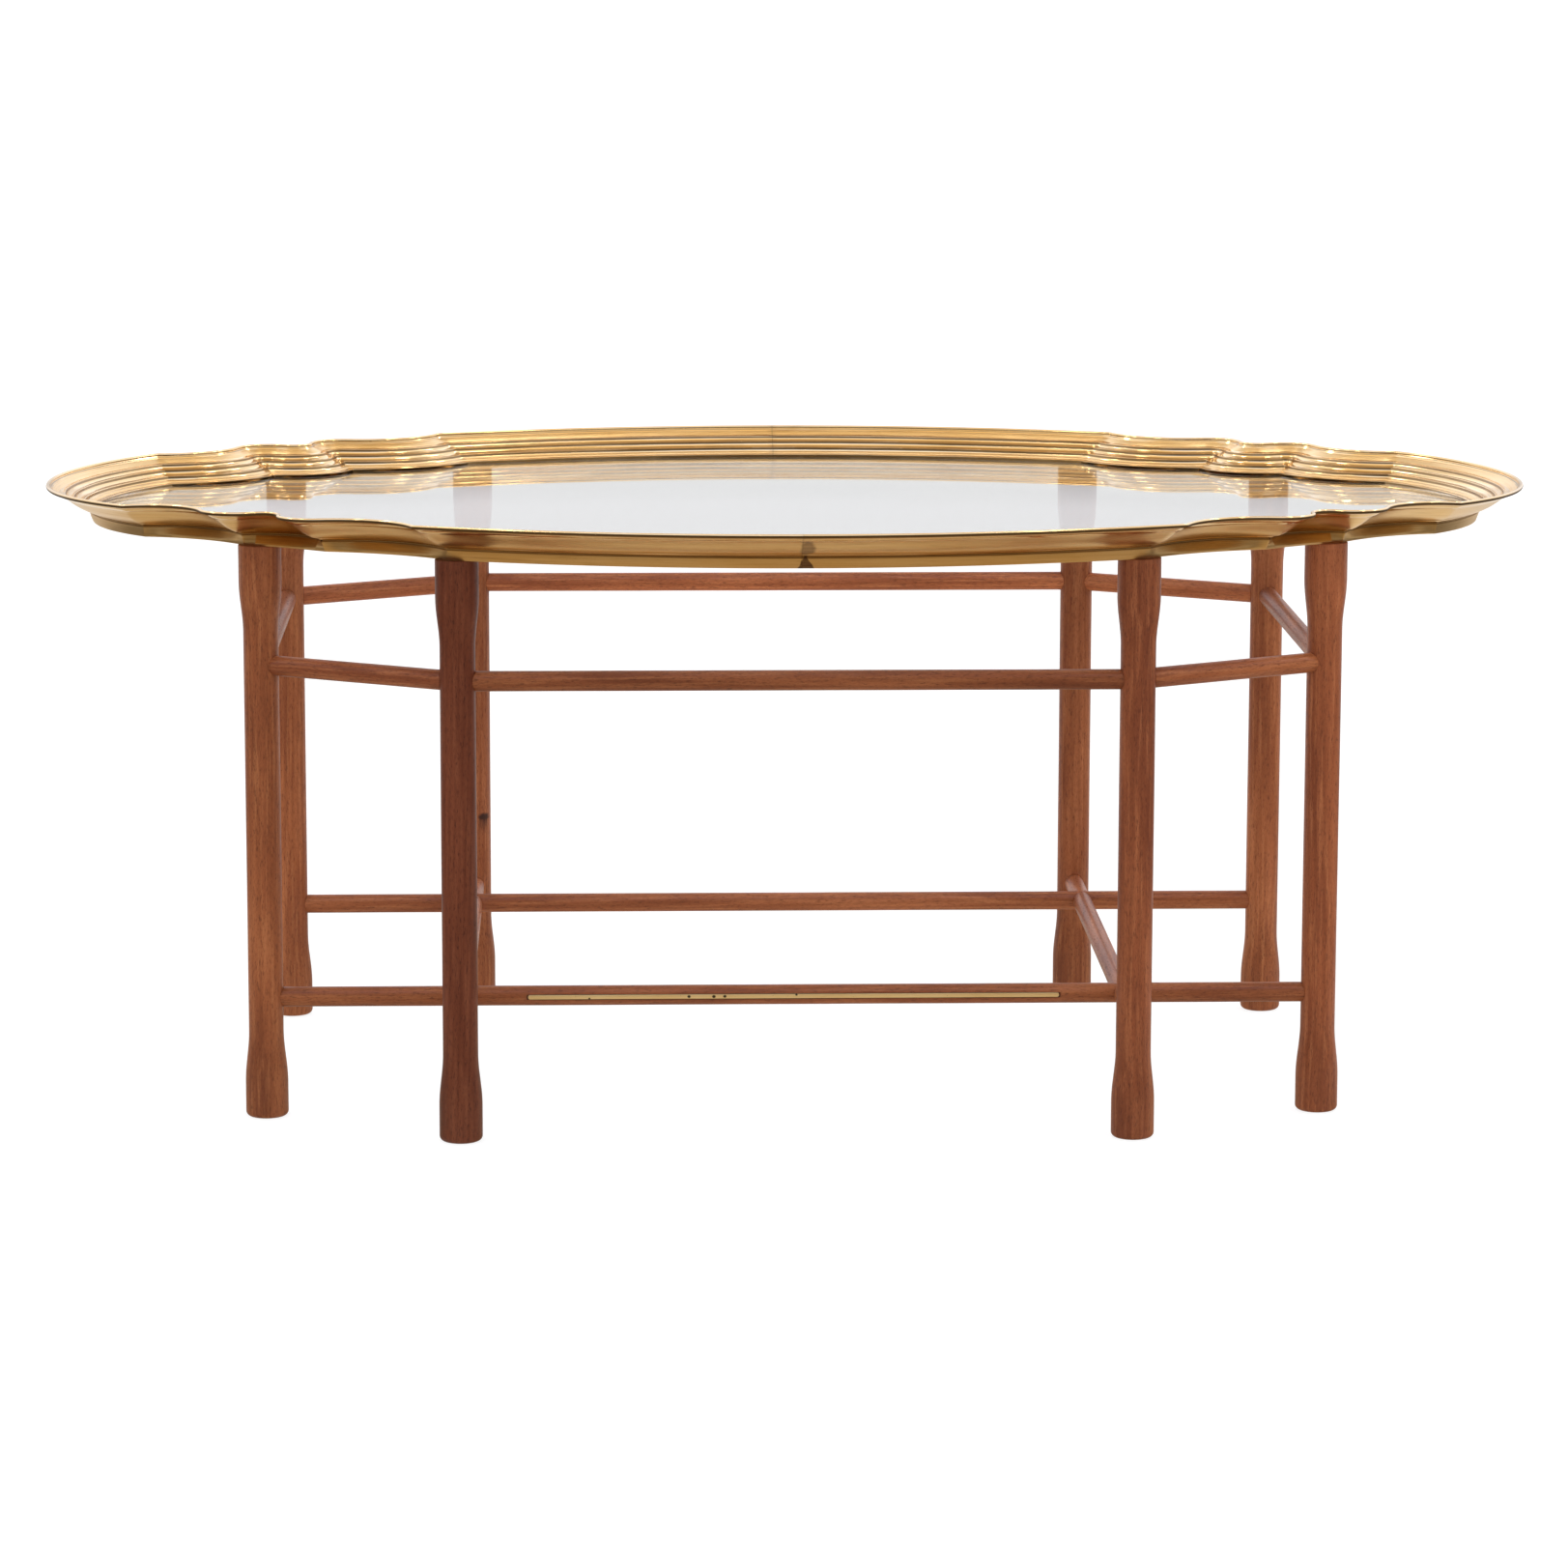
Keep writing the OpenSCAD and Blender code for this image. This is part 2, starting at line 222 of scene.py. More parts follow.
FAR, NEAR = (lambda p: p[0] + p[1]), (lambda p: -p[0] - p[1])
WEST, EAST = (lambda p: -p[0]), (lambda p: p[0])
TA, TB, SR, ER = 582.0, 368.0, 733.0, 242.0
CR, LR, NR, CR2 = 62.0, 28.0, 12.0, 50.0
LA, LB = V2(361, 241), V2(421, 203.5)
SC, EC = V2(0, TB - SR), V2(TA - ER, 0)
CUSP = V2(286, SC[1] + math.sqrt(SR * SR - 286 ** 2))
CUSP2 = V2(509, math.sqrt(ER * ER - (509 - EC[0]) ** 2))
K1 = pick(FAR, CUSP, CR, LA, CR + LR)
KN = pick(FAR, LA, LR + NR, LB, LR + NR)
K2 = pick(FAR, CUSP2, CR2, LB, CR2 + LR)
NS = dict(side=56, cove=16, lobe=14, notch=8, cove2=14, end=40)


def arc(c, r, p, q, n):
    a = math.atan2(p[1] - c[1], p[0] - c[0])
    b = math.atan2(q[1] - c[1], q[0] - c[0])
    t = (b - a + 3 * math.pi) % (2 * math.pi) - math.pi
    return [c + r * V2(math.cos(a + t * i / n), math.sin(a + t * i / n)) for i in range(n)]


def toward(c, r, q):
    return c + r * (q - c) / math.hypot(*(q - c))


def flatter(pts, q, k):
    n = len(pts)
    return [pt * (1 - k) + (pts[0] + (q - pts[0]) * i / n) * k for i, pt in enumerate(pts)]


def quarter(d, k=0.0, small=0.8):
    m = max(LR - d, small)
    a = pick(NEAR, K1, CR + d + m, KN, NR + d + m)
    b = pick(NEAR, KN, NR + d + m, K2, CR2 + d + m)
    p = pick(WEST, SC, SR - d, K1, CR + d)
    q = pick(EAST, EC, ER - d, K2, CR2 + d)
    a1, a2, b1, b2 = toward(a, m, K1), toward(a, m, KN), toward(b, m, KN), toward(b, m, K2)
    end = V2(EC[0] + ER - d, 0)
    return (arc(SC, SR - d, V2(0, SC[1] + SR - d), p, NS["side"]) + flatter(arc(K1, CR + d, p, a1, NS["cove"]), a1, 0.5 * k)
            + arc(a, m, a1, a2, NS["lobe"]) + flatter(arc(KN, NR + d, a2, b1, NS["notch"]), b1, 0.85 * k)
            + arc(b, m, b1, b2, NS["lobe"]) + flatter(arc(K2, CR2 + d, b2, q, NS["cove2"]), q, 0.5 * k)
            + arc(EC, ER - d, q, end, NS["end"]) + [end])


def sag(x):
    t = (abs(x) - OX - 30) / (TA - OX - 30)
    return 3.0 * t ** 1.6 if t > 0 else 0.0


def half(d, k=0.0):
    q = quarter(d, k)
    return np.array(q + [V2(p[0], -p[1]) for p in q[-2::-1]])


def bez(p, c, q, n):
    p, c, q = V2(*p), V2(*c), V2(*q)
    return [tuple((1 - t) ** 2 * p + 2 * t * (1 - t) * c + t * t * q) for t in [i / n for i in range(n)]]


def section():
    """Moulding section as (inset, height over the underside), round the outside, over the lip and down the inside."""
    s = [(36.4, 0.0), (36.0, 0.05), (35.8, 0.35)]
    s += bez((35.75, 0.6), (34.4, 4.0), (33.45, 7.5), 8)
    s += [(33.45, 7.6), (33.4, 7.95), (33.65, 8.2), (34.05, 8.4), (34.15, 8.75)]
    s += bez((34.1, 9.0), (33.4, 10.1), (29.5, 11.0), 6)
    s += bez((29.5, 11.0), (23.0, 12.9), (16.2, 18.6), 9)
    s += bez((16.2, 18.6), (9.0, 24.4), (2.6, 26.4), 9)
    s += [(2.6, 26.4), (1.5, 26.75)]
    for i in range(0, 13):          # rolled lip bead
        a = math.radians(235 - 260 * i / 12)
        s.append((1.6 + 1.6 * math.cos(a), 28.0 + 1.6 * math.sin(a)))
    s += [(3.45, 26.9)]
    s += bez((3.9, 26.5), (7.6, 22.5), (13.9, 22.0), 12)
    s += [(13.9, 22.0), (14.5, 22.12), (15.0, 21.95), (15.3, 21.4)]
    s += bez((15.5, 20.5), (16.7, 18.5), (20.4, 18.1), 9)
    s += [(20.4, 18.1), (21.0, 18.2), (21.45, 18.0), (21.7, 17.4)]
    s += bez((21.9, 16.6), (23.2, 14.2), (27.9, 13.7), 9)
    s += [(27.9, 13.7), (28.5, 13.8), (29.0, 13.6), (29.25, 13.0)]
    s += bez((29.45, 12.2), (30.8, 9.4), (36.0, 8.7), 9)
    s += [(36.0, 8.7), (36.9, 8.75), (37.5, 8.5), (37.8, 8.0), (37.8, 4.6), (37.8, 1.8), (37.8, 0.0)]
    return s


def foot_share(d, z):
    """Share of the foot's flattening at a section point."""
    if d > 37.75:
        return max(0.0, min(1.0, (8.2 - z) / 6.4))
    if d > 32.9 and z < 7.6:
        return 1.0 if z <= 1.8 else 1.0 - 0.38 * (z - 1.8) / 2.1 if z <= 3.9 else 0.62 * (7.6 - z) / 3.7
    return 0.0


SEC = section()
SEC_INNER = next(i for i, p in enumerate(SEC) if p == (3.45, 26.9))


def perimeter():
    h = half(18.0)
    return np.concatenate([[0], np.cumsum(np.hypot(*np.diff(h, axis=0).T))])


PER = perimeter()


def rim(name, side):
    """One half of the moulded rim. side is 1 for +X, -1 for -X."""
    nk = len(SEC)
    rings = [half(d, foot_share(d, z)) for d, z in SEC]
    ns = len(rings[0])
    verts, along, inset, height = [], [], [], []
    for i in range(ns):
        s = PER[i]
        for k, (d, z) in enumerate(SEC):
            x, y = rings[k][i]
            w = noise.noise(Vector((s * 0.011, 7.3 * side, 0.13 * k))) * 0.22
            w2 = noise.noise(Vector((s * 0.035, 3.1 * side, 0.21 * k))) * 0.07
            free = 0.0 if (z < 0.3 or d > 37 or i in (0, ns - 1)) else 1.0
            if d < 4.5:
                free *= 0.25
            verts.append((side * (x - (w + w2) * free * 0.6 * (x / TA)), y - (w + w2) * free * 0.6 * (y / TB), Z0 + z - sag(x) + (w + w2) * free * (0.0 if d < 4.5 else 1.0)))
            along.append(s * MM * side)
            inset.append(d * MM)
            height.append(z * MM)
    faces = []
    for i in range(ns - 1):
        for k in range(nk - 1):
            faces.append((i * nk + k, i * nk + k + 1, (i + 1) * nk + k + 1, (i + 1) * nk + k))
        faces.append((i * nk + nk - 1, i * nk, (i + 1) * nk, (i + 1) * nk + nk - 1))
    faces.append(tuple(range(nk)))
    faces.append(tuple((ns - 1) * nk + k for k in range(nk - 1, -1, -1)))
    grain = [(a, d, z) for a, d, z in zip(along, inset, height)]
    outer = [1.0 if k < SEC_INNER - 9 else 0.0 for k in range(nk)] * ns
    return build(name, verts, faces, 32, grain, {"outer": outer})


def loop(d, k=0.0):
    h = half(d, k)
    return np.concatenate([h, [[-p[0], p[1]] for p in h[-2:0:-1]]])


def ring_solid(name, prof, closed_caps=False):
    """Solid of a closed (inset, z) profile swept round the whole outline, or a slab when closed_caps is set."""
    loops = [loop(d, 1.0 if d < 37.9 else 0.0) for d, z in prof]
    n = len(loops[0])
    verts = [(x, y, z) for lp, (d, z) in zip(loops, prof) for x, y in lp]
    faces = []
    m = len(prof)
    for k in range(m - (1 if closed_caps else 0)):
        a, b = k * n, ((k + 1) % m) * n
        faces += [(a + i, a + (i + 1) % n, b + (i + 1) % n, b + i) for i in range(n)]
    if closed_caps:
        faces += [tuple(range(n)), tuple((m - 1) * n + i for i in range(n))]
    return build(name, verts, faces, 30, [(x * MM, y * MM, z * MM) for x, y, z in verts])


# ------------------------------------------------------------------ materials
class Mat:
    def __init__(self, name):
        self.m = bpy.data.materials.new(name)
        self.m.use_nodes = True
        self.nt = self.m.node_tree
        self.p = self.nt.nodes["Principled BSDF"]

    def node(self, kind, **kw):
        n = self.nt.nodes.new(kind)
        for k, v in kw.items():
            setattr(n, k, v)
        return n

    def link(self, a, b):
        self.nt.links.new(a, b)

    def attr(self, name):
        return self.node("ShaderNodeAttribute", attribute_name=name, attribute_type="GEOMETRY")

    def vmul(self, vec, xyz, add=None):
        n = self.node("ShaderNodeVectorMath", operation="MULTIPLY_ADD")
        self.link(vec, n.inputs[0])
        n.inputs[1].default_value = xyz
        n.inputs[2].default_value = add or (0, 0, 0)
        return n.outputs[0]

    def noise(self, vec, scale=1.0, detail=3.0, rough=0.5, dist=0.0):
        n = self.node("ShaderNodeTexNoise")
        self.link(vec, n.inputs["Vector"])
        n.inputs["Scale"].default_value = scale
        n.inputs["Detail"].default_value = detail
        n.inputs["Roughness"].default_value = rough
        n.inputs["Distortion"].default_value = dist
        return n

    def math(self, op, a, b=None, c=None, clamp=False):
        n = self.node("ShaderNodeMath", operation=op, use_clamp=clamp)
        for i, v in enumerate((a, b, c)):
            if v is None:
                continue
            if isinstance(v, (int, float)):
                n.inputs[i].default_value = v
            else:
                self.link(v, n.inputs[i])
        return n.outputs[0]

    def ramp(self, fac, stops, interp="LINEAR"):
        n = self.node("ShaderNodeValToRGB")
        n.color_ramp.interpolation = interp
        els = n.color_ramp.elements
        while len(els) < len(stops):
            els.new(0.5)
        for e, (pos, col) in zip(els, stops):
            e.position = pos
            e.color = (*col, 1) if isinstance(col, tuple) else (col, col, col, 1)
        self.link(fac, n.inputs[0])
        return n.outputs[0]

    def step(self, v, lo, hi):
        n = self.node("ShaderNodeMapRange", interpolation_type="SMOOTHSTEP")
        self.link(v, n.inputs[0])
        n.inputs[1].default_value = lo
        n.inputs[2].default_value = hi
        return n.outputs[0]

    def mix(self, fac, a, b, mode="MIX"):
        n = self.node("ShaderNodeMix", data_type="RGBA", blend_type=mode)
        for sock, v in ((n.inputs[0], fac), (n.inputs[6], a), (n.inputs[7], b)):
            if isinstance(v, (int, float)):
                sock.default_value = v
            elif isinstance(v, tuple):
                sock.default_value = (*v, 1)
            else:
                self.link(v, sock)
        return n.outputs[2]

    def bump(self, height, strength, dist):
        n = self.node("ShaderNodeBump")
        n.inputs["Strength"].default_value = strength
        n.inputs["Distance"].default_value = dist
        self.link(height, n.inputs["Height"])
        self.link(n.outputs[0], self.p.inputs["Normal"])


def wood(name, painted_light_scale=1.0, red=1.0):
    """Oiled mahogany: grown rings cut by the turning, long streaks and short dark pores, along the grain attribute's Z."""
    M = Mat(name)
    g = M.attr("grain").outputs["Vector"]
    warp = M.noise(M.vmul(g, (9, 9, 1.3)), 1.0, 2.0, 0.5)
    w = M.node("ShaderNodeVectorMath", operation="MULTIPLY_ADD")
    M.link(warp.outputs["Color"], w.inputs[0])
    w.inputs[1].default_value = (0.011, 0.011, 0.0)
    M.link(g, w.inputs[2])
    sep = M.node("ShaderNodeSeparateXYZ")
    M.link(w.outputs[0], sep.inputs[0])
    tilt = M.math("MULTIPLY", M.math("SINE", M.math("MULTIPLY", sep.outputs[2], 2.3)), 0.016)
    x = M.math("ADD", sep.outputs[0], tilt)
    rad = M.math("SQRT", M.math("ADD", M.math("MULTIPLY", x, x), M.math("MULTIPLY", sep.outputs[1], sep.outputs[1])))
    rings = M.math("MULTIPLY_ADD", M.math("SINE", M.math("MULTIPLY", rad, 2 * math.pi / 0.0042)), 0.5, 0.5)
    rings = M.math("POWER", rings, 1.6)
    streak = M.noise(M.vmul(g, (340, 340, 15)), 1.0, 4.0, 0.6).outputs[0]
    broad = M.noise(M.vmul(g, (45, 45, 6.0)), 1.0, 3.0, 0.5).outputs[0]
    pore_n = M.noise(M.vmul(g, (1000, 1000, 170)), 1.0, 3.0, 0.65).outputs[0]
    pores = M.step(pore_n, 0.54, 0.66)
    fine_n = M.noise(M.vmul(g, (2100, 2100, 300)), 1.0, 2.0, 0.5).outputs[0]
    painted_light_level = M.attr("painted_light_level").outputs["Fac"]
    mark = M.attr("mark").outputs["Fac"]
    base = M.ramp(broad, [(0.28, (0.190 * painted_light_scale, 0.052 * painted_light_scale * red, 0.0205 * painted_light_scale * red)),
                          (0.50, (0.285 * painted_light_scale, 0.086 * painted_light_scale * red, 0.0320 * painted_light_scale * red)),
                          (0.74, (0.400 * painted_light_scale, 0.134 * painted_light_scale * red, 0.0520 * painted_light_scale * red))])
    col = M.mix(M.math("MULTIPLY", rings, 0.26), base, (0.135 * painted_light_scale, 0.034 * painted_light_scale, 0.012 * painted_light_scale))
    col = M.mix(M.math("MULTIPLY", M.step(streak, 0.45, 0.72), 0.55), col, (0.46 * painted_light_scale, 0.170 * painted_light_scale, 0.066 * painted_light_scale))
    col = M.mix(M.math("MULTIPLY", M.step(fine_n, 0.48, 0.66), 0.30), col, (0.085, 0.024, 0.011))
    col = M.mix(M.math("MULTIPLY", pores, 0.46), col, (0.050, 0.016, 0.009))
    red_shift = M.mix(M.attr("red").outputs["Fac"], (1.0, 1.0, 1.0), (1.02, 0.85, 0.98))
    col = M.mix(1.0, col, red_shift, "MULTIPLY")
    # painted light: the colour is scaled by the per-piece brightness attribute, which stands in for how brightly each
    # piece is lit, darker towards the leg feet
    sc = M.node("ShaderNodeVectorMath", operation="SCALE")
    M.link(col, sc.inputs[0])
    M.link(painted_light_level, sc.inputs["Scale"])
    col = M.mix(M.math("MULTIPLY", mark, 0.85), sc.outputs[0], (0.020, 0.012, 0.012))
    M.link(col, M.p.inputs["Base Color"])
    rough = M.math("MULTIPLY_ADD", streak, 0.16, 0.36)
    rough = M.math("MULTIPLY_ADD", pores, 0.15, rough)
    M.link(rough, M.p.inputs["Roughness"])
    M.p.inputs["Specular IOR Level"].default_value = 0.12
    M.p.inputs["Coat Weight"].default_value = 0.15
    M.p.inputs["Coat Roughness"].default_value = 0.13
    h = M.math("MULTIPLY_ADD", pores, -1.0, M.math("MULTIPLY", streak, 0.5))
    M.bump(h, 0.35, 0.00022)
    return M.m


def brass(name):
    """Polished brass moulding drawn along its length: warm tarnish, old polish with painted shade in the quirks, a
    painted shadow in the outer crease, a painted dark reflection on the outer side of the lip bead, faint lengthwise
    streaks, casting pits and brazing stains at the two seams.
    """
    M = Mat(name)
    g = M.attr("grain").outputs["Vector"]
    sep = M.node("ShaderNodeSeparateXYZ")
    M.link(g, sep.inputs[0])
    s, d, z = sep.outputs
    outer = M.attr("outer").outputs["Fac"]
    tarnish = M.noise(M.vmul(g, (9, 60, 60)), 1.0, 4.0, 0.6).outputs[0]
    streak = M.noise(M.vmul(g, (14, 1500, 1500)), 1.0, 3.0, 0.55).outputs[0]
    blotch = M.noise(M.vmul(g, (55, 140, 140)), 1.0, 3.0, 0.6).outputs[0]
    grime = M.noise(M.vmul(g, (30, 420, 420)), 1.0, 4.0, 0.65).outputs[0]
    col = M.ramp(tarnish, [(0.30, (0.78, 0.50, 0.200)), (0.52, (0.86, 0.590, 0.275)), (0.75, (0.91, 0.665, 0.350))])
    col = M.mix(M.math("MULTIPLY", M.step(streak, 0.45, 0.70), 0.34), col, (0.56, 0.32, 0.100))
    col = M.mix(M.math("MULTIPLY", M.step(grime, 0.54, 0.76), 0.30), col, (0.34, 0.20, 0.07))
    # painted shadow in the two crease lines of the outside
    crease_painted_shadow = M.math("SUBTRACT", 1.0, M.step(M.math("ABSOLUTE", M.math("SUBTRACT", z, 0.0083)), 0.0002, 0.0013))
    outside = M.step(d, 0.0300, 0.0325)
    outside = M.math("MULTIPLY", outside, M.math("SUBTRACT", 1.0, M.step(d, 0.0346, 0.0352)))
    crease_painted_shadow = M.math("MULTIPLY", crease_painted_shadow, outside)
    col = M.mix(M.math("MULTIPLY", crease_painted_shadow, 0.55), col, (0.20, 0.105, 0.035))
    # a line under the rolled lip painted near black as a painted dark reflection, and old polish with painted shade in
    # the quirks between the inner steps
    bead_painted_dark = M.math("MULTIPLY", M.math("SUBTRACT", 1.0, M.step(d, 0.0009, 0.0018)), M.math("SUBTRACT", 1.0, M.step(z, 0.0286, 0.0293)))
    bead_painted_dark = M.math("MULTIPLY", bead_painted_dark, outer)
    inner = M.math("SUBTRACT", 1.0, outer)
    quirk_patina_and_shade = 0.0
    for q, w in ((0.00375, 0.00045), (0.0154, 0.0005), (0.0218, 0.0005), (0.0294, 0.0005), (0.0376, 0.0004)):
        line = M.math("SUBTRACT", 1.0, M.step(M.math("ABSOLUTE", M.math("SUBTRACT", d, q)), w * 0.35, w))
        quirk_patina_and_shade = M.math("MAXIMUM", line, quirk_patina_and_shade)
    quirk_patina_and_shade = M.math("MULTIPLY", quirk_patina_and_shade, inner)
    # patina with painted shade: the quirk lines are darkened
    col = M.mix(M.math("MULTIPLY", M.math("MULTIPLY_ADD", grime, 0.6, 0.45), quirk_patina_and_shade), col, (0.17, 0.085, 0.026))
    col = M.mix(M.math("MULTIPLY", bead_painted_dark, 0.86), col, (0.085, 0.045, 0.018))
    # small dark pits, in drifts
    pit_n = M.node("ShaderNodeTexVoronoi", feature="F1")
    M.link(M.vmul(g, (150, 150, 150)), pit_n.inputs["Vector"])
    pit = M.math("SUBTRACT", 1.0, M.step(pit_n.outputs["Distance"], 0.05, 0.11))
    pit_where = M.step(M.noise(M.vmul(g, (14, 30, 30)), 1.0, 2.0, 0.5).outputs[0], 0.50, 0.58)
    pit = M.math("MULTIPLY", pit, pit_where)
    col = M.mix(M.math("MULTIPLY", pit, 0.88), col, (0.05, 0.025, 0.010))
    # the seams: s = 0 at the back, |s| = the half length at the front
    wob = M.math("MULTIPLY", M.math("SUBTRACT", blotch, 0.5), 0.006)
    back = M.math("ABSOLUTE", s)
    front = M.math("SUBTRACT", float(PER[-1] * MM), back)
    joint = M.math("SUBTRACT", 1.0, M.step(M.math("MINIMUM", back, front), 0.0002, 0.0007))
    right_side = M.math("GREATER_THAN", s, 0.0)
    signed = M.math("MULTIPLY", front, M.math("MULTIPLY_ADD", right_side, 2.0, -1.0))

    def spot(cx, cd, rx, rd, soft):
        u = M.math("DIVIDE", M.math("ADD", M.math("SUBTRACT", signed, cx), wob), rx)
        v = M.math("DIVIDE", M.math("SUBTRACT", d, cd), rd)
        r = M.math("SQRT", M.math("ADD", M.math("MULTIPLY", u, u), M.math("MULTIPLY", v, v)))
        return M.math("SUBTRACT", 1.0, M.step(r, 1.0 - soft, 1.0 + soft))

    oval = spot(0.004, 0.0190, 0.0050, 0.0110, 0.35)
    oval = M.math("MULTIPLY", oval, M.math("LESS_THAN", z, 0.0275))
    under = M.math("MULTIPLY", M.step(d, 0.0325, 0.0332), M.math("SUBTRACT", 1.0, M.step(d, 0.0368, 0.0372)))
    wide = M.math("MULTIPLY_ADD", z, -0.62, 0.0064)          # a run of solder, wider towards the bottom
    tri = M.math("SUBTRACT", 1.0, M.step(M.math("SUBTRACT", M.math("ABSOLUTE", M.math("ADD", M.math("SUBTRACT", signed, 0.003), wob)), wide), -0.0006, 0.0006))
    tri = M.math("MULTIPLY", tri, under)
    # only the outside of the rim carries them
    is_out = M.math("LESS_THAN", z, M.math("MULTIPLY_ADD", d, -0.72, 0.0288 + 0.0022))
    oval = M.math("MULTIPLY", oval, is_out)
    halo = M.math("SUBTRACT", 1.0, M.step(M.math("ADD", back, wob), 0.001, 0.006))
    stain = M.math("MAXIMUM", M.math("MULTIPLY", oval, 0.62), M.math("MULTIPLY", tri, 0.85))
    col = M.mix(M.math("MULTIPLY", halo, 0.14), col, (0.34, 0.19, 0.08))
    col = M.mix(M.math("MULTIPLY", stain, M.math("MULTIPLY_ADD", grime, 1.1, 0.35, True)), col, (0.13, 0.062, 0.048))
    col = M.mix(M.math("MULTIPLY", joint, 0.30), col, (0.16, 0.085, 0.035))
    M.link(col, M.p.inputs["Base Color"])
    M.p.inputs["Metallic"].default_value = 1.0
    rough = M.math("MULTIPLY_ADD", tarnish, 0.08, 0.045)
    rough = M.math("MULTIPLY_ADD", M.step(streak, 0.4, 0.8), 0.06, rough)
    foot = M.math("MULTIPLY", outer, M.step(d, 0.0318, 0.0330))
    rough = M.math("MULTIPLY_ADD", outer, 0.20, rough)
    rough = M.math("MULTIPLY_ADD", foot, 0.14, rough)
    rough = M.math("MULTIPLY_ADD", bead_painted_dark, 0.25, rough)
    rough = M.math("MULTIPLY_ADD", quirk_patina_and_shade, 0.20, rough)
    rough = M.math("MULTIPLY_ADD", stain, 0.28, rough)
    rough = M.math("MULTIPLY_ADD", pit, 0.3, rough)
    M.link(rough, M.p.inputs["Roughness"])
    h = M.math("MULTIPLY_ADD", pit, -1.2, M.math("MULTIPLY", streak, 0.16))
    h = M.math("MULTIPLY_ADD", blotch, 0.5, h)
    M.bump(h, 0.28, 0.00035)
    return M.m


def strip_brass(name):
    M = Mat(name)
    g = M.attr("grain").outputs["Vector"]
    n1 = M.noise(M.vmul(g, (60, 900, 900)), 1.0, 4.0, 0.6).outputs[0]
    n2 = M.noise(M.vmul(g, (16, 16, 16)), 1.0, 3.0, 0.5).outputs[0]
    col = M.ramp(n2, [(0.3, (0.86, 0.60, 0.27)), (0.7, (0.98, 0.74, 0.38))])
    col = M.mix(M.math("MULTIPLY", M.step(n1, 0.5, 0.8), 0.4), col, (0.62, 0.38, 0.14))
    v = M.node("ShaderNodeTexVoronoi", feature="F1")
    M.link(M.vmul(g, (75, 75, 75)), v.inputs["Vector"])
    pit = M.math("SUBTRACT", 1.0, M.step(v.outputs["Distance"], 0.04, 0.085))
    sep = M.node("ShaderNodeSeparateXYZ")
    M.link(g, sep.inputs[0])
    for cx, cz, r in ((-0.0806, 0.0001, 0.0013), (-0.0615, 0.0, 0.0014), (-0.0531, 0.0001, 0.0013), (0.0019, 0.0011, 0.0009), (-0.157, -0.0011, 0.0008)):
        u = M.math("DIVIDE", M.math("SUBTRACT", sep.outputs[0], cx), r)
        v2 = M.math("DIVIDE", M.math("SUBTRACT", sep.outputs[1], cz), r * 0.85)
        far = M.math("SQRT", M.math("ADD", M.math("MULTIPLY", u, u), M.math("MULTIPLY", v2, v2)))
        pit = M.math("MAXIMUM", pit, M.math("SUBTRACT", 1.0, M.step(far, 0.7, 1.25)))
    edge = M.step(M.math("ABSOLUTE", sep.outputs[1]), 0.00135, 0.00170)
    col = M.mix(M.math("MULTIPLY", edge, 0.6), col, (0.20, 0.11, 0.04))
    col = M.mix(M.math("MULTIPLY", pit, 0.95), col, (0.02, 0.012, 0.008))
    M.link(col, M.p.inputs["Base Color"])
    M.p.inputs["Metallic"].default_value = 0.75
    M.link(M.math("MULTIPLY_ADD", n1, 0.2, 0.36), M.p.inputs["Roughness"])
    M.bump(M.math("MULTIPLY_ADD", pit, -1.0, n1), 0.25, 0.0002)
    return M.m


def glass_mat(name):
    M = Mat(name)
    g = M.attr("grain").outputs["Vector"]
    smear = M.noise(M.vmul(g, (7, 7, 7)), 1.0, 4.0, 0.6, 0.6).outputs[0]
    M.p.inputs["Base Color"].default_value = (0.955, 0.985, 0.975, 1)
    M.p.inputs["Transmission Weight"].default_value = 1.0
    M.p.inputs["IOR"].default_value = 1.5
    M.link(M.math("MULTIPLY", M.step(smear, 0.55, 0.8), 0.012), M.p.inputs["Roughness"])
    M.bump(M.noise(M.vmul(g, (3.2, 3.2, 3.2)), 1.0, 1.0, 0.4).outputs[0], 0.05, 0.0006)
    return M.m


WOOD_LEG = wood("mahogany_leg")
# painted light: the dowels' copy of the wood is painted 5% lighter than the legs'
WOOD_RAIL = wood("mahogany_dowel", 1.05)
BRASS = brass("brass_moulding")
STRIP = strip_brass("brass_strip")
GLASS = glass_mat("clear_glass")


def finish_piece(ob, mat, body, node):
    ob.data.materials.append(mat)
    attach(ob, body)
    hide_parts(node)
    return ob


# ------------------------------------------------------------------ the stand
LEGS = {"leg_front_inner_left": (-IX, -IY), "leg_front_inner_right": (IX, -IY),
        "leg_front_outer_left": (-OX, -OY), "leg_front_outer_right": (OX, -OY),
        "leg_back_inner_left": (-IX, IY), "leg_back_inner_right": (IX, IY),
        "leg_back_outer_left": (-OX, OY), "leg_back_outer_right": (OX, OY)}
LEG_RED = {"leg_front_inner_left": 1.0, "leg_front_inner_right": 0.35, "leg_front_outer_right": 0.25}
# painted light: per-leg brightness factors standing in for how brightly each leg is lit; legs not listed get 1.25
LEG_PAINTED_LIGHT = {"leg_front_inner_left": 0.50, "leg_front_inner_right": 0.92, "leg_front_outer_left": 1.02, "leg_front_outer_right": 1.10, "leg_back_inner_right": 1.15}
for i, (node, (x, y)) in enumerate(LEGS.items()):
    spot = (152.0, math.radians(-52), 3.2, 0.42) if node == "leg_back_inner_left" else None
    finish_piece(leg("turned_" + node, x, y, 11 + i, LEG_PAINTED_LIGHT.get(node, 1.25), spot, LEG_RED.get(node, 0.0)), WOOD_LEG, "stand", node)

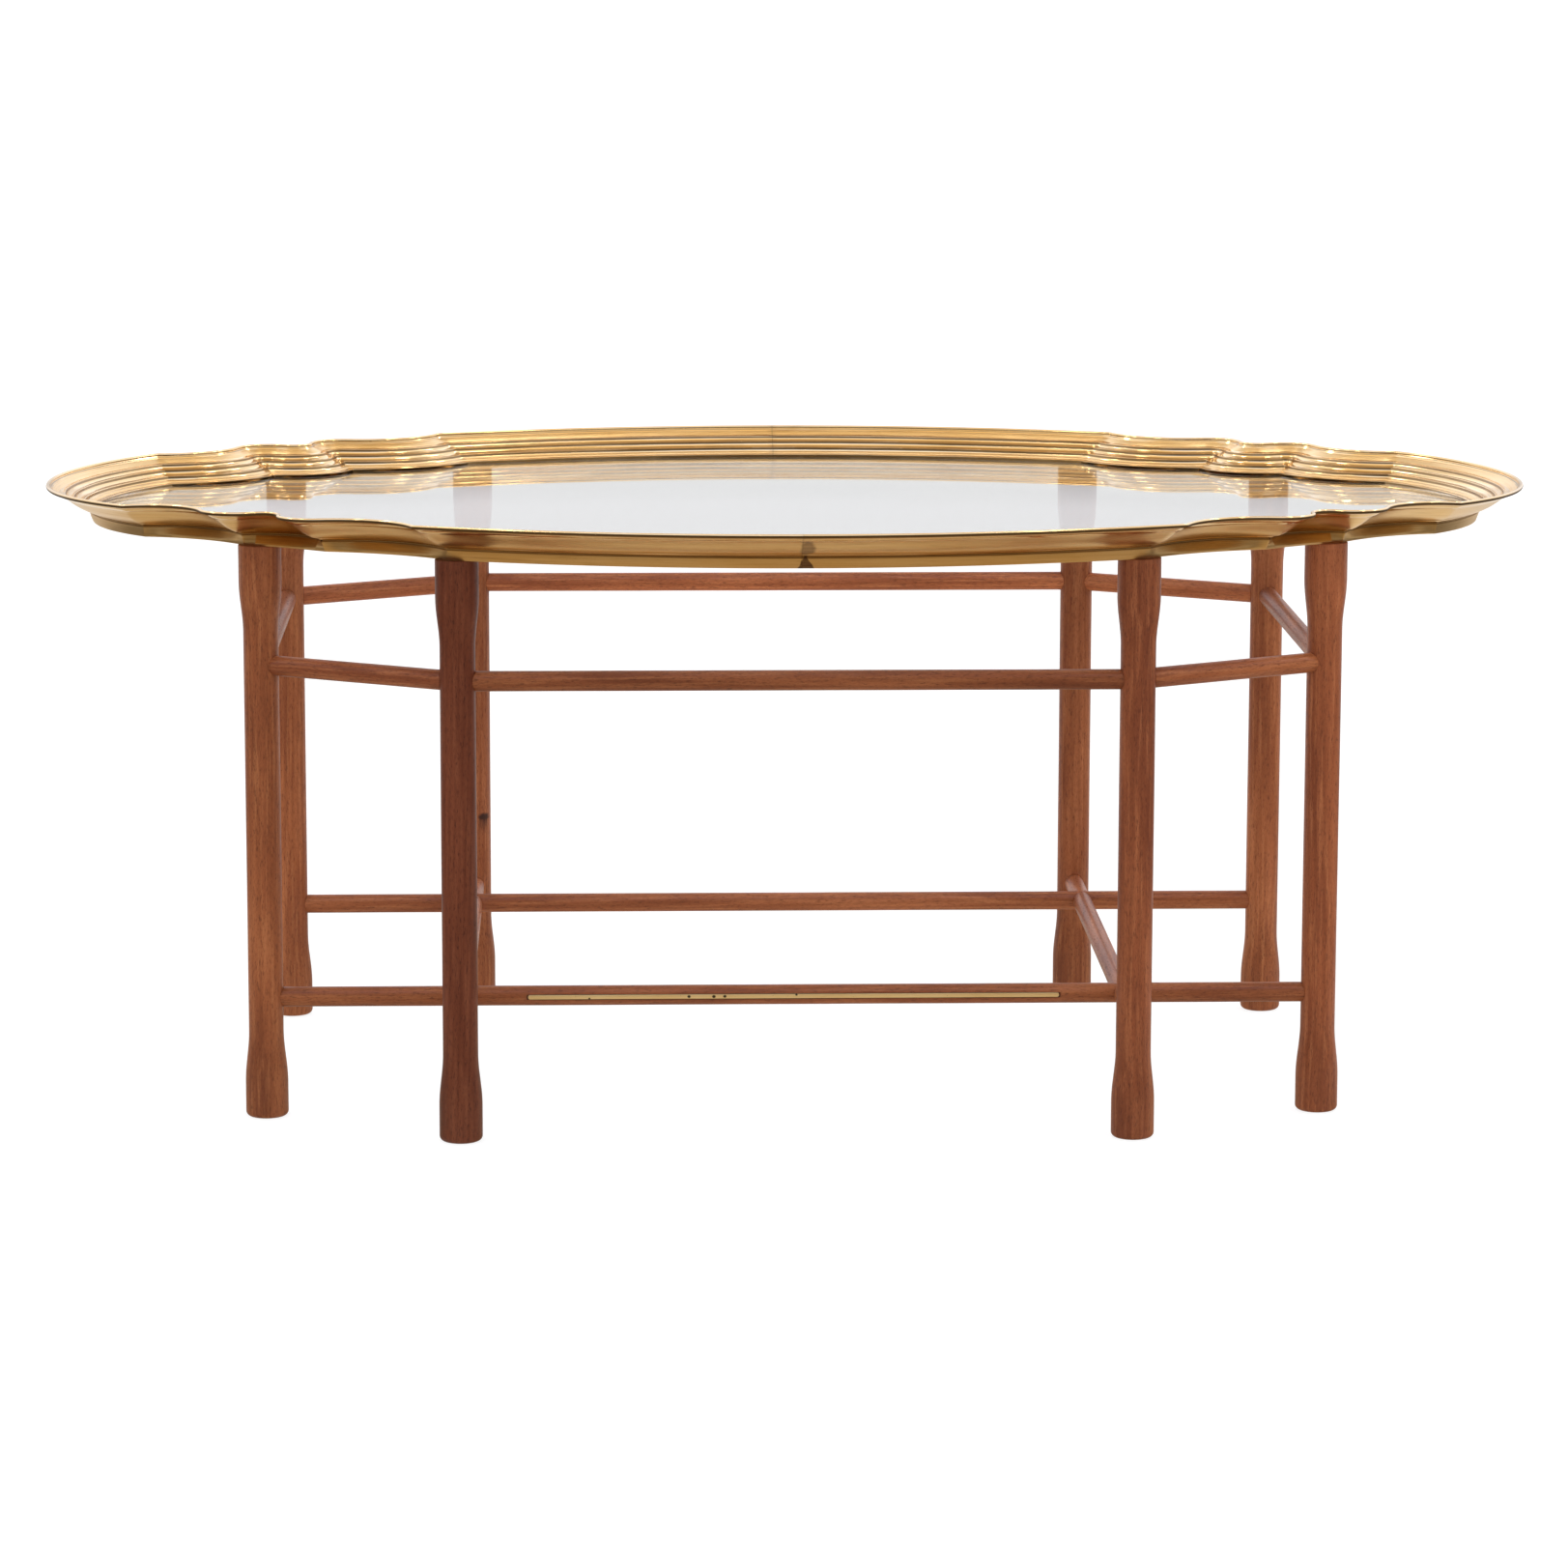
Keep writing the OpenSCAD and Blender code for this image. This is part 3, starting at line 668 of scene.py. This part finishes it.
LG = ("leg", LEG_R)
RL = ("rail", RAIL_R)
RAILS = [("ring_rail_front", (-IX, -IY), (IX, -IY), RING_Z, LG, LG),
         ("ring_rail_back", (-IX, IY), (IX, IY), RING_Z, LG, LG),
         ("ring_rail_end_left", (-OX, -OY), (-OX, OY), RING_Z, LG, LG),
         ("ring_rail_end_right", (OX, -OY), (OX, OY), RING_Z, LG, LG),
         ("ring_rail_diagonal_front_left", (-IX, -IY), (-OX, -OY), RING_Z, LG, LG),
         ("ring_rail_diagonal_front_right", (IX, -IY), (OX, -OY), RING_Z, LG, LG),
         ("ring_rail_diagonal_back_left", (-IX, IY), (-OX, OY), RING_Z, LG, LG),
         ("ring_rail_diagonal_back_right", (IX, IY), (OX, OY), RING_Z, LG, LG),
         ("long_rail_front", (-OX, -OY), (OX, -OY), LOW_Z, LG, LG),
         ("long_rail_back", (-OX, OY), (OX, OY), LOW_Z, LG, LG),
         ("cross_rail_left", (-IX, -OY), (-IX, OY), LOW_Z, RL, RL),
         ("cross_rail_right", (IX, -OY), (IX, OY), LOW_Z, RL, RL),
         ("stub_rail_front_left", (-IX, -OY), (-IX, -IY), LOW_Z, RL, LG),
         ("stub_rail_front_right", (IX, -OY), (IX, -IY), LOW_Z, RL, LG),
         ("stub_rail_back_left", (-IX, OY), (-IX, IY), LOW_Z, RL, LG),
         ("stub_rail_back_right", (IX, OY), (IX, IY), LOW_Z, RL, LG)]


# painted light: per-dowel brightness factors standing in for how brightly each dowel is lit; dowels not listed get 1.08
RAIL_PAINTED_LIGHT = {"ring_rail_front": 0.84, "ring_rail_back": 1.80, "ring_rail_diagonal_back_left": 1.6, "ring_rail_diagonal_back_right": 1.6,
             "long_rail_back": 1.12, "long_rail_front": 0.92}


def stadium(length, width, y0, y1, n=16):
    """Points of a long strip with round ends in XZ, extruded from y0 to y1, in millimetres about the front long rail."""
    pts = []
    h, r = (length - width) / 2, width / 2
    for i in range(n + 1):
        a = -math.pi / 2 + math.pi * i / n
        pts.append((h + r * math.cos(a), r * math.sin(a)))
    for i in range(n + 1):
        a = math.pi / 2 + math.pi * i / n
        pts.append((-h + r * math.cos(a), r * math.sin(a)))
    m = len(pts)
    verts = [(x, y, LOW_Z + z) for y in (y0, y1) for x, z in pts]
    faces = [tuple(range(m)), tuple(m + i for i in range(m))]
    faces += [(i, (i + 1) % m, m + (i + 1) % m, m + i) for i in range(m)]
    return verts, faces


for i, (node, p, q, z, ea, eb) in enumerate(RAILS):
    ob = dowel("dowel_" + node, p, q, z, ea, eb, 41 + i, RAIL_PAINTED_LIGHT.get(node, 1.08), 144 if node == "long_rail_front" else 72)
    if node == "long_rail_front":
        # groove for the inlaid strip
        v, f = stadium(408.5, 4.0, -OY - RAIL_R - 3, -OY - RAIL_R + 1.5)
        cut = build("groove_cutter", v, f)
        mod = ob.modifiers.new("groove", "BOOLEAN")
        mod.operation, mod.solver, mod.object = "DIFFERENCE", "EXACT", cut
        bpy.context.view_layer.update()
        dg = bpy.context.evaluated_depsgraph_get()
        me = bpy.data.meshes.new_from_object(ob.evaluated_get(dg))
        ob.modifiers.clear()
        ob.data = me
        me.name = ob.name
        bpy.data.objects.remove(cut)
    finish_piece(ob, WOOD_RAIL, "stand", node)


def inlay(name):
    """The strip: flat back, front face following the dowel's round, edges eased."""
    cols = 9
    w, half_l = 1.75, 204.0 - 1.75
    xs = [-half_l - w + w * (1 - math.cos(math.pi / 2 * i / 10)) for i in range(10)]
    xs += list(np.linspace(-half_l, half_l, 90))
    xs += [-x for x in xs[9::-1]]
    verts, grain, front, back = [], [], [], []
    for x in xs:
        dx = max(0.0, abs(x) - half_l)
        hw = max(0.05, math.sqrt(max(w * w - dx * dx, 0)))
        fr, bk = [], []
        for c in range(cols):
            u = -1 + 2 * c / (cols - 1)
            zz = hw * u
            y = -OY - math.sqrt(RAIL_R ** 2 - zz * zz) + (0.16 if abs(u) == 1 else 0.0) - 0.02
            y += 0.03 * noise.noise(Vector((x * 0.05, zz, 3.3)))
            fr.append(len(verts)); verts.append((x, y, LOW_Z + zz)); grain.append((x * MM, zz * MM, 0.0))
            bk.append(len(verts)); verts.append((x, -OY - RAIL_R + 1.45, LOW_Z + zz)); grain.append((x * MM, zz * MM, 0.002))
        front.append(fr); back.append(bk)
    faces = []
    for i in range(len(xs) - 1):
        for c in range(cols - 1):
            faces.append((front[i][c], front[i + 1][c], front[i + 1][c + 1], front[i][c + 1]))
            faces.append((back[i][c], back[i][c + 1], back[i + 1][c + 1], back[i + 1][c]))
        for c in (0, cols - 1):
            faces.append((front[i][c], back[i][c], back[i + 1][c], front[i + 1][c]))
    for i in (0, len(xs) - 1):
        for c in range(cols - 1):
            faces.append((front[i][c], front[i][c + 1], back[i][c + 1], back[i][c]))
    return build(name, verts, faces, 40, grain)


finish_piece(inlay("inlaid_strip"), STRIP, "stand", "brass_inlay")

# ------------------------------------------------------------------ the tray
finish_piece(rim("moulded_rim_right", 1), BRASS, "tray_frame", "tray_rim_right")
finish_piece(rim("moulded_rim_left", -1), BRASS, "tray_frame", "tray_rim_left")
ledge = ring_solid("glass_ledge", [(37.85, Z0), (37.85, Z0 + 1.4), (49.5, Z0 + 1.4), (49.8, Z0 + 1.1), (49.8, Z0 + 0.3), (49.5, Z0)])
finish_piece(ledge, BRASS, "tray_frame", "tray_ledge")
gz = Z0 + 1.4
pane = ring_solid("glass_pane", [(39.1, gz + 0.06), (38.4, gz + 0.66), (38.4, gz + 4.4), (39.1, gz + 5.0)], closed_caps=True)
finish_piece(pane, GLASS, "glass", "glass_panel")

# ------------------------------------------------------------------ stage
class Tree:
    """Small node helper for the floor and the world."""

    def __init__(self, nt):
        self.nt = nt
        nt.nodes.clear()

    def n(self, kind, **kw):
        n = self.nt.nodes.new(kind)
        for k, v in kw.items():
            setattr(n, k, v)
        return n

    def link(self, a, b):
        self.nt.links.new(a, b)

    def m(self, op, a, b=None, c=None):
        n = self.n("ShaderNodeMath", operation=op)
        for i, v in enumerate((a, b, c)):
            if v is None:
                continue
            if isinstance(v, (int, float)):
                n.inputs[i].default_value = v
            else:
                self.link(v, n.inputs[i])
        return n.outputs[0]

    def step(self, v, lo, hi, a=0.0, b=1.0):
        n = self.n("ShaderNodeMapRange", interpolation_type="SMOOTHSTEP")
        self.link(v, n.inputs[0])
        for i, x in enumerate((lo, hi, a, b)):
            n.inputs[i + 1].default_value = x
        return n.outputs[0]

    def mix(self, fac, a, b):
        n = self.n("ShaderNodeMix", data_type="RGBA")
        for sock, v in ((n.inputs[0], fac), (n.inputs[6], a), (n.inputs[7], b)):
            if isinstance(v, (int, float)):
                sock.default_value = v
            elif isinstance(v, tuple):
                sock.default_value = (*v, 1)
            else:
                self.link(v, sock)
        return n.outputs[2]

    def ramp(self, fac, stops, scale):
        n = self.n("ShaderNodeValToRGB")
        els = n.color_ramp.elements
        while len(els) < len(stops):
            els.new(0.5)
        for e, (pos, col) in zip(els, stops):
            e.position = pos
            e.color = (*[c / scale for c in col], 1)
        self.link(fac, n.inputs[0])
        v = self.n("ShaderNodeVectorMath", operation="SCALE")
        self.link(n.outputs[0], v.inputs[0])
        v.inputs["Scale"].default_value = scale
        return v.outputs[0]


def stage_floor():
    verts, faces = [], []
    rings = [0.0, 0.6, 1.5, 4, 12, 40, 120]
    for r in rings:
        for k in range(64):
            a = 2 * math.pi * k / 64
            verts.append((r * math.cos(a), r * math.sin(a), -0.0004))
    for i in range(len(rings) - 1):
        faces += [(i * 64 + k, i * 64 + (k + 1) % 64, (i + 1) * 64 + (k + 1) % 64, (i + 1) * 64 + k) for k in range(64)]
    me = bpy.data.meshes.new("studio_floor")
    me.from_pydata(verts, [], faces)
    ob = bpy.data.objects.new("studio_floor", me)
    bpy.context.scene.collection.objects.link(ob)
    m = bpy.data.materials.new("studio_floor")
    m.use_nodes = True
    t = Tree(m.node_tree)
    out = t.n("ShaderNodeOutputMaterial")
    lp = t.n("ShaderNodeLightPath")
    geo = t.n("ShaderNodeNewGeometry")
    sep = t.n("ShaderNodeSeparateXYZ")
    t.link(geo.outputs["Position"], sep.inputs[0])
    x, y, z = sep.outputs
    ax = t.m("ABSOLUTE", x)
    # what polished metal sees: pale sweep behind, softer light under and in front, dark floor past the paper's edges
    soft = t.n("ShaderNodeTexNoise")
    sc = t.n("ShaderNodeVectorMath", operation="MULTIPLY")
    t.link(geo.outputs["Position"], sc.inputs[0])
    sc.inputs[1].default_value = (5.0, 7.0, 1.0)
    t.link(sc.outputs[0], soft.inputs["Vector"])
    soft.inputs["Detail"].default_value = 1.0
    patch = t.step(soft.outputs[0], 0.42, 0.62)
    front = t.mix(patch, (0.42, 0.29, 0.14), (0.54, 0.43, 0.29))
    under = t.mix(patch, (0.54, 0.43, 0.28), (0.70, 0.65, 0.58))
    under = t.mix(t.step(x, 0.40, 0.58), under, (0.86, 0.82, 0.78))
    near = t.mix(t.step(y, -0.50, -0.34), front, under)
    col = t.mix(t.step(y, 0.30, 0.75), near, (0.92, 0.90, 0.87))
    edge = t.m("MULTIPLY", t.step(ax, 0.88, 1.05), t.step(y, 1.2, 0.5))
    col = t.mix(edge, col, (0.10, 0.08, 0.06))
    col = t.mix(t.m("MULTIPLY", t.step(y, -1.1, -1.6), 0.75), col, (0.12, 0.10, 0.08))
    gl = t.n("ShaderNodeEmission")
    t.link(col, gl.inputs[0])
    thru = t.n("ShaderNodeEmission")
    thru.inputs[1].default_value = 1.0
    paper = t.mix(t.step(y, 0.9, 1.7), (0.90, 0.90, 0.92), (0.50, 0.47, 0.44))
    bow = t.m("MULTIPLY_ADD", t.m("MULTIPLY", x, x), 0.35, y)
    t.link(t.mix(t.step(bow, 3.64, 3.98), paper, (1.0, 0.98, 0.96)), thru.inputs[0])
    amb = t.n("ShaderNodeEmission")
    amb.inputs[0].default_value = (1.0, 0.97, 0.93, 1)
    amb.inputs[1].default_value = 0.78
    dif = t.n("ShaderNodeBsdfDiffuse")
    dif.inputs[0].default_value = (0.22, 0.22, 0.22, 1)
    em = t.n("ShaderNodeEmission")
    em.inputs[1].default_value = 0.84
    cam_add = t.n("ShaderNodeAddShader")
    t.link(dif.outputs[0], cam_add.inputs[0])
    t.link(em.outputs[0], cam_add.inputs[1])
    cur = gl.outputs[0]
    for flag, sh in (("Is Transmission Ray", thru), ("Is Diffuse Ray", amb), ("Is Camera Ray", cam_add)):
        mx = t.n("ShaderNodeMixShader")
        t.link(lp.outputs[flag], mx.inputs[0])
        t.link(cur, mx.inputs[1])
        t.link(sh.outputs[0], mx.inputs[2])
        cur = mx.outputs[0]
    t.link(cur, out.inputs[0])
    me.materials.append(m)


stage_floor()


def studio_world():
    w = bpy.data.worlds.new("studio")
    bpy.context.scene.world = w
    w.use_nodes = True
    t = Tree(w.node_tree)
    out = t.n("ShaderNodeOutputWorld")
    tc = t.n("ShaderNodeTexCoord")
    sep = t.n("ShaderNodeSeparateXYZ")
    t.link(tc.outputs["Generated"], sep.inputs[0])
    x, y, z = sep.outputs
    ax = t.m("ABSOLUTE", x)
    turn = t.m("DIVIDE", t.m("ARCTAN2", z, y), math.pi)      # 0 back horizon, 0.5 overhead, 1 front horizon
    deg = lambda d: d / 180.0
    middle = t.ramp(turn, [(deg(0), (0.99, 0.995, 1.03)), (deg(12.5), (0.99, 0.995, 1.03)), (deg(16), (1.38, 1.46, 1.66)),
                           (deg(36), (1.38, 1.46, 1.66)), (deg(40), (0.74, 0.72, 0.68)),
                           (deg(46), (0.66, 0.60, 0.50)), (deg(51), (0.50, 0.40, 0.27)), (deg(64), (0.86, 0.71, 0.49)),
                           (deg(82), (1.12, 0.98, 0.74)), (deg(99), (1.15, 1.06, 0.92)), (deg(104), (1.30, 1.60, 2.6)),
                           (deg(131), (1.25, 1.55, 2.5)), (deg(137), (0.36, 0.33, 0.30)), (deg(152), (0.15, 0.12, 0.08)),
                           (deg(166), (0.22, 0.165, 0.095)), (deg(180), (0.16, 0.12, 0.07))], 4.0)
    side = t.ramp(turn, [(deg(0), (1.10, 1.16, 1.32)), (deg(60), (1.35, 1.46, 1.85)), (deg(100), (1.25, 1.34, 1.65)),
                         (deg(130), (0.68, 0.65, 0.60)), (deg(155), (0.42, 0.39, 0.34)), (deg(180), (0.34, 0.31, 0.27))], 4.0)
    # the low backdrop is greyer just over the horizon, as the white floor paper takes over there
    zz = t.m("MAXIMUM", z, 0.01)
    fx = t.m("MULTIPLY_ADD", t.m("DIVIDE", x, zz), 0.9871, -0.1499)
    fy = t.m("MULTIPLY_ADD", t.m("DIVIDE", y, zz), 0.9871, -4.3797)
    bow = t.m("MULTIPLY_ADD", t.m("MULTIPLY", fx, fx), 0.35, fy)
    low = t.m("MULTIPLY", t.step(bow, 3.64, 3.98), t.step(t.m("ABSOLUTE", x), 0.30, 0.18))
    middle = t.mix(low, middle, (0.745, 0.745, 0.765))
    glossy = t.mix(t.step(ax, 0.20, 0.42), middle, side)
    flank = t.m("MULTIPLY", t.step(ax, 0.80, 0.93), t.step(z, 0.45, 0.20))
    glossy = t.mix(flank, glossy, (0.42, 0.39, 0.35))
    # small hard lamps: the sparkles on the lobes and mitres
    for sx, turned in ((0.43, 116), (-0.43, 116), (0.70, 84), (-0.70, 84), (0.25, 70), (-0.25, 70), (0.52, 60), (-0.52, 60)):
        sy, sz = math.sqrt(1 - sx * sx) * math.cos(math.radians(turned)), math.sqrt(1 - sx * sx) * math.sin(math.radians(turned))
        dot = t.n("ShaderNodeVectorMath", operation="DOT_PRODUCT")
        t.link(tc.outputs["Generated"], dot.inputs[0])
        dot.inputs[1].default_value = (sx, sy, sz)
        lamp = t.step(dot.outputs["Value"], math.cos(math.radians(3.6)), math.cos(math.radians(2.4)))
        glossy = t.mix(lamp, glossy, (15.0, 15.0, 15.0))
    lp = t.n("ShaderNodeLightPath")
    bg = t.n("ShaderNodeBackground")
    t.link(glossy, bg.inputs[0])
    amb = t.n("ShaderNodeBackground")
    level = t.m("MULTIPLY_ADD", z, 0.35, 0.98)
    level = t.m("MULTIPLY_ADD", x, 0.15, level)
    t.link(level, amb.inputs[1])
    amb.inputs[0].default_value = (1.0, 0.985, 0.96, 1)
    white = t.n("ShaderNodeBackground")
    white.inputs[0].default_value = (1, 1, 1, 1)
    white.inputs[1].default_value = 1.05
    cur = bg.outputs[0]
    for flag, sh in (("Is Diffuse Ray", amb), ("Is Camera Ray", white)):
        mx = t.n("ShaderNodeMixShader")
        t.link(lp.outputs[flag], mx.inputs[0])
        t.link(cur, mx.inputs[1])
        t.link(sh.outputs[0], mx.inputs[2])
        cur = mx.outputs[0]
    t.link(cur, out.inputs[0])


studio_world()

# ------------------------------------------------------------------ camera
cam_data = bpy.data.cameras.new("camera")
cam = bpy.data.objects.new("camera", cam_data)
bpy.context.scene.collection.objects.link(cam)
bpy.context.scene.camera = cam
cam_data.sensor_width = 36.0
cam_data.lens = 127.99
cam_data.clip_end = 500
pitch, yaw, roll = 0.17227, 0.03388, 0.00204
fwd = Vector((math.sin(yaw) * math.cos(pitch), math.cos(yaw) * math.cos(pitch), -math.sin(pitch)))
right = Vector((math.cos(yaw), -math.sin(yaw), 0))
up = right.cross(fwd)
r2 = right * math.cos(roll) + up * math.sin(roll)
u2 = -right * math.sin(roll) + up * math.cos(roll)
mat = Matrix((r2, u2, -fwd)).transposed().to_4x4()
mat.translation = Vector((-0.1499, -4.3797, 0.9871))
cam.matrix_world = mat

vs = bpy.context.scene.view_settings
vs.view_transform = "Standard"
vs.look = "None"
